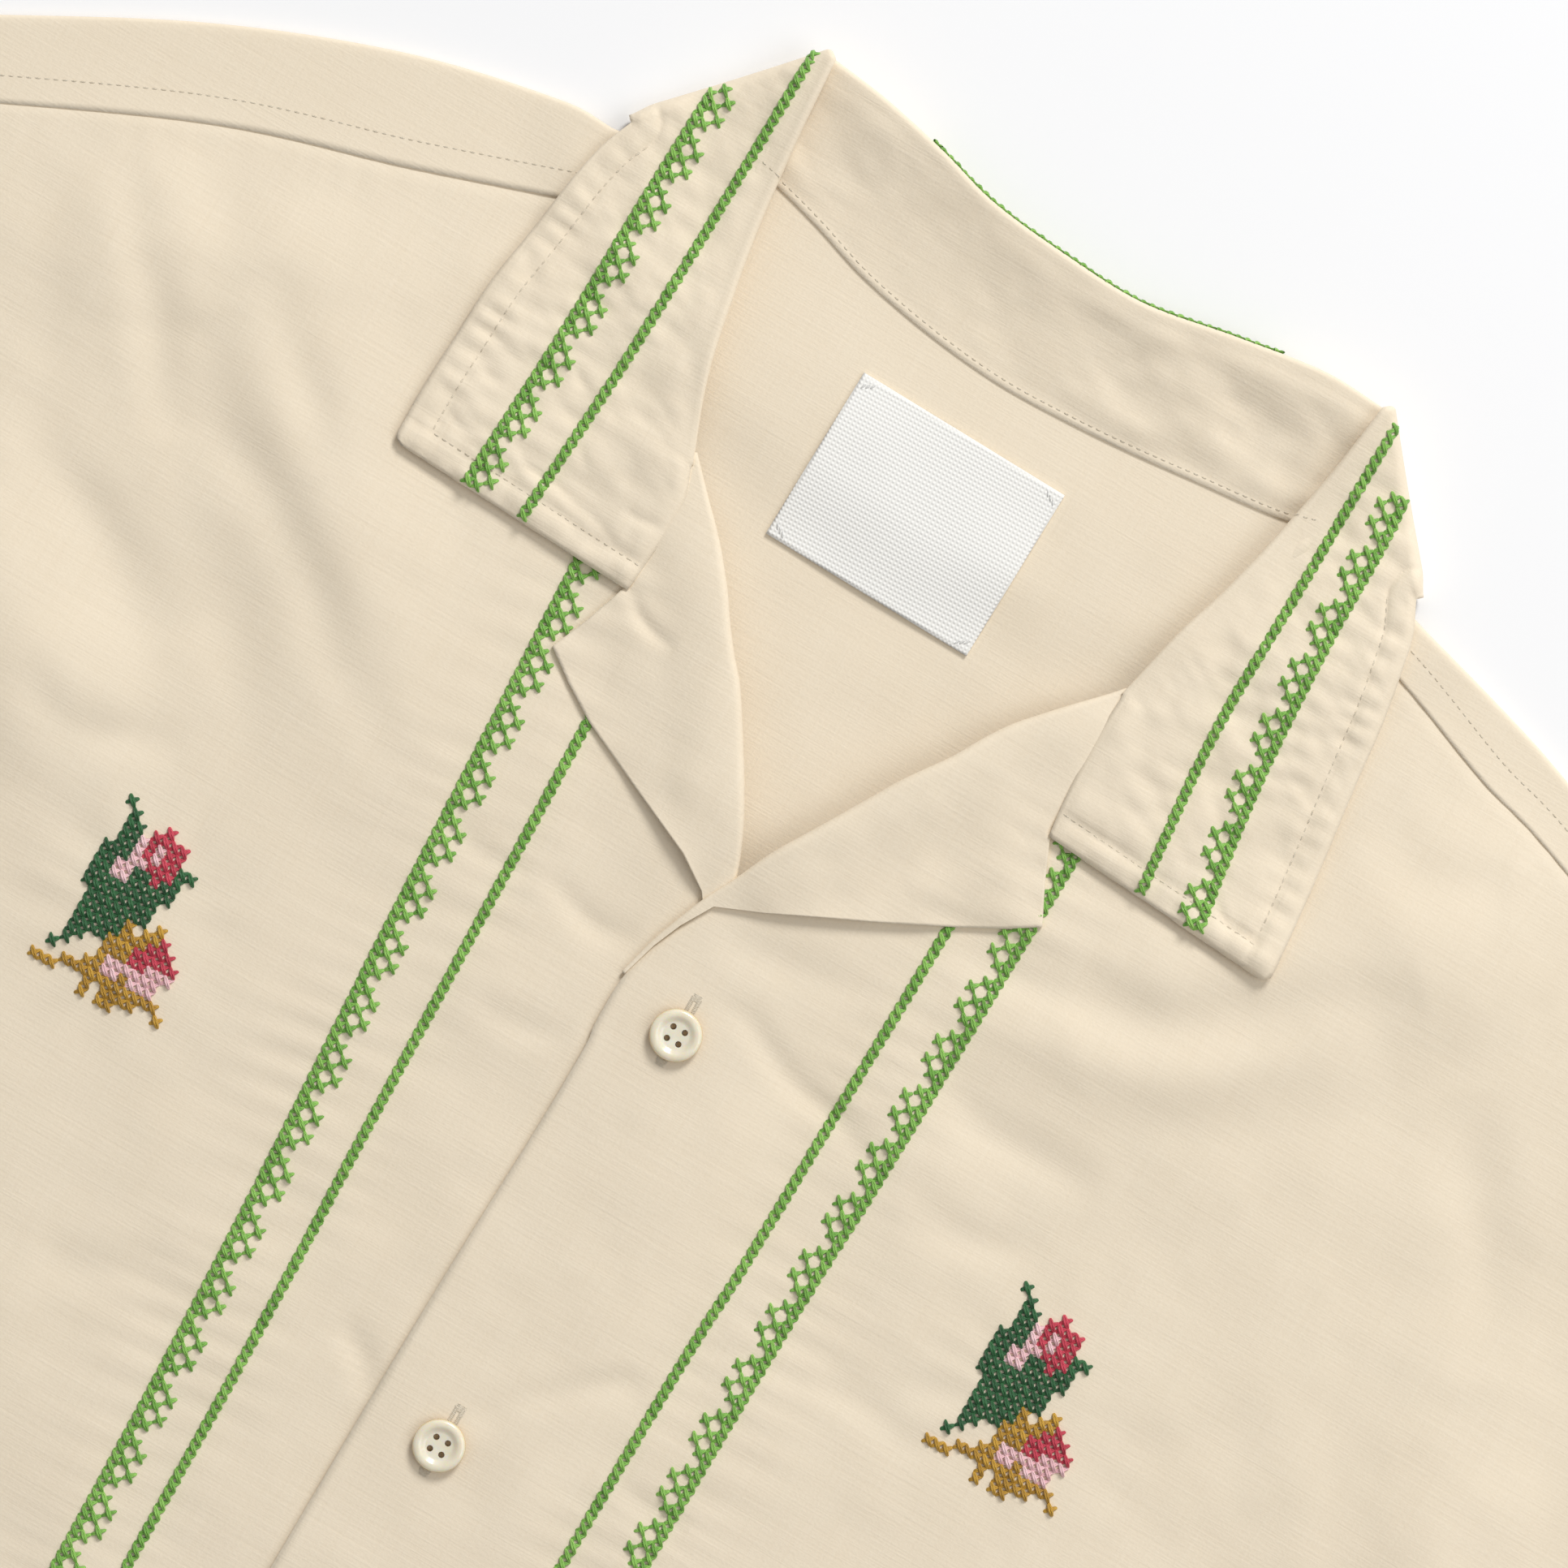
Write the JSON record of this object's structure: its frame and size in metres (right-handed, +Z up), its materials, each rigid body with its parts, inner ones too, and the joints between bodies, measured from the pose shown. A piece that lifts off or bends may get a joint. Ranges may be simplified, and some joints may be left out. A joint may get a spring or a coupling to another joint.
{
  "type": "embroidered shirt",
  "caption": "Short-sleeved shirt with an open camp collar and turned-out lapels, buttoned down the front and laid flat on its back.",
  "frame": {"origin": "on the surface that the shirt lies on, under the middle of the back, 161 mm below the top button", "axes": "+Z up from the surface, +Y from the hem towards the neck, +X towards the wearer's left sleeve"},
  "size_m": [0.9016, 0.7175, 0.0108],
  "materials": {
    "shirt_cloth": "matt cream plain-weave cotton",
    "label_tape": "matt white woven tape",
    "button_pearl": "pearly cream gloss",
    "green_thread": "satin embroidery thread",
    "motif_thread": "satin embroidery thread in dark green, gold, red and pink",
    "sewing_thread": "cream sewing thread"
  },
  "bodies": {
    "root": {"back": "shirt_cloth", "front_left": "shirt_cloth", "front_right": "shirt_cloth", "facing_left": "shirt_cloth", "facing_right": "shirt_cloth", "sleeve_left": "shirt_cloth", "sleeve_right": "shirt_cloth", "collar": "shirt_cloth", "neck_label": "label_tape", "button_1": "button_pearl", "button_2": "button_pearl", "button_3": "button_pearl", "button_4": "button_pearl", "button_5": "button_pearl"}
  },
  "joints": []
}
